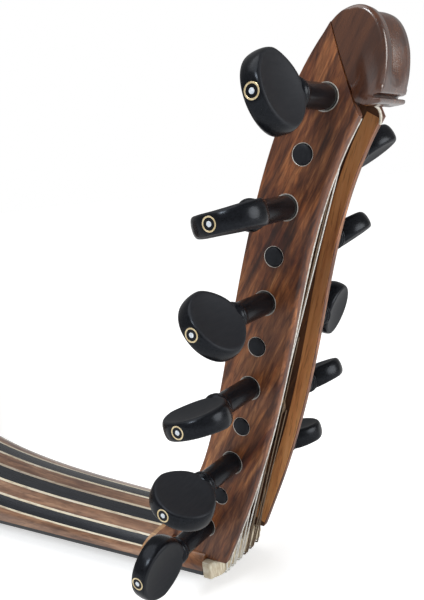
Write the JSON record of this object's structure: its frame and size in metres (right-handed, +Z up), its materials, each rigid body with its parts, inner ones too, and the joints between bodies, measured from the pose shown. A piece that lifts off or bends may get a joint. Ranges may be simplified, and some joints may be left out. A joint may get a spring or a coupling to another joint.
{
  "type": "oud lute",
  "caption": "Short-necked fretless lute with a ribbed bowl, striped neck, bent-back pegbox and friction pegs that turn.",
  "frame": {"origin": "middle of the bridge's flat lowest face, on which the instrument lies face down", "axes": "+X along the strings from the bridge to the head, +Y towards the side with five pegs, +Z up, from the strings to the back of the bowl"},
  "size_m": [0.7619, 0.364, 0.2158],
  "materials": {
    "walnut": "lacquered walnut",
    "dark_walnut": "dark lacquered walnut",
    "blackwood": "lacquered ebony",
    "ebony": "polished ebony",
    "maple_line": "lacquered maple",
    "spruce": "satin spruce",
    "bone": "polished bone",
    "eye": "polished brass ring with a pearl dot",
    "nylon": "clear nylon",
    "wound_string": "silver plated copper winding on nylon"
  },
  "bodies": {
    "oud": {"bowl_ribs_walnut": "walnut", "bowl_ribs_black": "blackwood", "bowl_lines": "maple_line", "soundboard": "spruce", "soundboard_braces": "spruce", "rosettes": "bone", "rosette_rings": "bone", "edge_binding": "blackwood", "end_clasp": "blackwood", "neck_block": "spruce", "tail_block": "spruce", "pickguard": "walnut", "bridge": "walnut", "neck_core": "spruce", "neck_strips_walnut": "walnut", "neck_strips_black": "blackwood", "neck_lines": "maple_line", "fingerboard": "walnut", "nut": "bone", "pegbox_foot": "walnut", "near_cheek": "walnut", "far_cheek": "walnut", "pegbox_back": "walnut", "finial": "dark_walnut", "treble_strings": "nylon", "bass_strings": "wound_string"},
    "peg_1_turning": {"peg_1": "ebony", "peg_eye_1": "eye", "string_winding_1": "nylon"},
    "peg_2_turning": {"peg_2": "ebony", "peg_eye_2": "eye", "string_winding_2": "wound_string"},
    "peg_3_turning": {"peg_3": "ebony", "peg_eye_3": "eye", "string_winding_3": "nylon"},
    "peg_4_turning": {"peg_4": "ebony", "peg_eye_4": "eye", "string_winding_4": "wound_string"},
    "peg_5_turning": {"peg_5": "ebony", "peg_eye_5": "eye", "string_winding_5": "nylon"},
    "peg_6_turning": {"peg_6": "ebony", "peg_eye_6": "eye", "string_winding_6": "wound_string"},
    "peg_7_turning": {"peg_7": "ebony", "peg_eye_7": "eye", "string_winding_7": "nylon"},
    "peg_8_turning": {"peg_8": "ebony", "peg_eye_8": "eye", "string_winding_8": "wound_string"},
    "peg_9_turning": {"peg_9": "ebony", "peg_eye_9": "eye", "string_winding_9": "nylon"},
    "peg_10_turning": {"peg_10": "ebony", "peg_eye_10": "eye", "string_winding_10": "wound_string"},
    "peg_11_turning": {"peg_11": "ebony", "peg_eye_11": "eye", "string_winding_11": "nylon"}
  },
  "joints": [
    {"name": "peg_1_turn", "type": "hinge", "parent": "oud", "child": "peg_1_turning", "pos_m": [0.5975, 0, 0.031], "axis": [0, 1, 0], "continuous": true},
    {"name": "peg_2_turn", "type": "hinge", "parent": "oud", "child": "peg_2_turning", "pos_m": [0.60627, 0, 0.0456], "axis": [0, -1, 0], "continuous": true},
    {"name": "peg_3_turn", "type": "hinge", "parent": "oud", "child": "peg_3_turning", "pos_m": [0.61338, 0, 0.0606], "axis": [0, 1, 0], "continuous": true},
    {"name": "peg_4_turn", "type": "hinge", "parent": "oud", "child": "peg_4_turning", "pos_m": [0.61924, 0, 0.07594], "axis": [0, -1, 0], "continuous": true},
    {"name": "peg_5_turn", "type": "hinge", "parent": "oud", "child": "peg_5_turning", "pos_m": [0.62431, 0, 0.09161], "axis": [0, 1, 0], "continuous": true},
    {"name": "peg_6_turn", "type": "hinge", "parent": "oud", "child": "peg_6_turning", "pos_m": [0.629, 0, 0.10756], "axis": [0, -1, 0], "continuous": true},
    {"name": "peg_7_turn", "type": "hinge", "parent": "oud", "child": "peg_7_turning", "pos_m": [0.63375, 0, 0.12377], "axis": [0, 1, 0], "continuous": true},
    {"name": "peg_8_turn", "type": "hinge", "parent": "oud", "child": "peg_8_turning", "pos_m": [0.639, 0, 0.1402], "axis": [0, -1, 0], "continuous": true},
    {"name": "peg_9_turn", "type": "hinge", "parent": "oud", "child": "peg_9_turning", "pos_m": [0.64516, 0, 0.15682], "axis": [0, 1, 0], "continuous": true},
    {"name": "peg_10_turn", "type": "hinge", "parent": "oud", "child": "peg_10_turning", "pos_m": [0.65269, 0, 0.1736], "axis": [0, -1, 0], "continuous": true},
    {"name": "peg_11_turn", "type": "hinge", "parent": "oud", "child": "peg_11_turning", "pos_m": [0.662, 0, 0.1905], "axis": [0, 1, 0], "continuous": true}
  ]
}
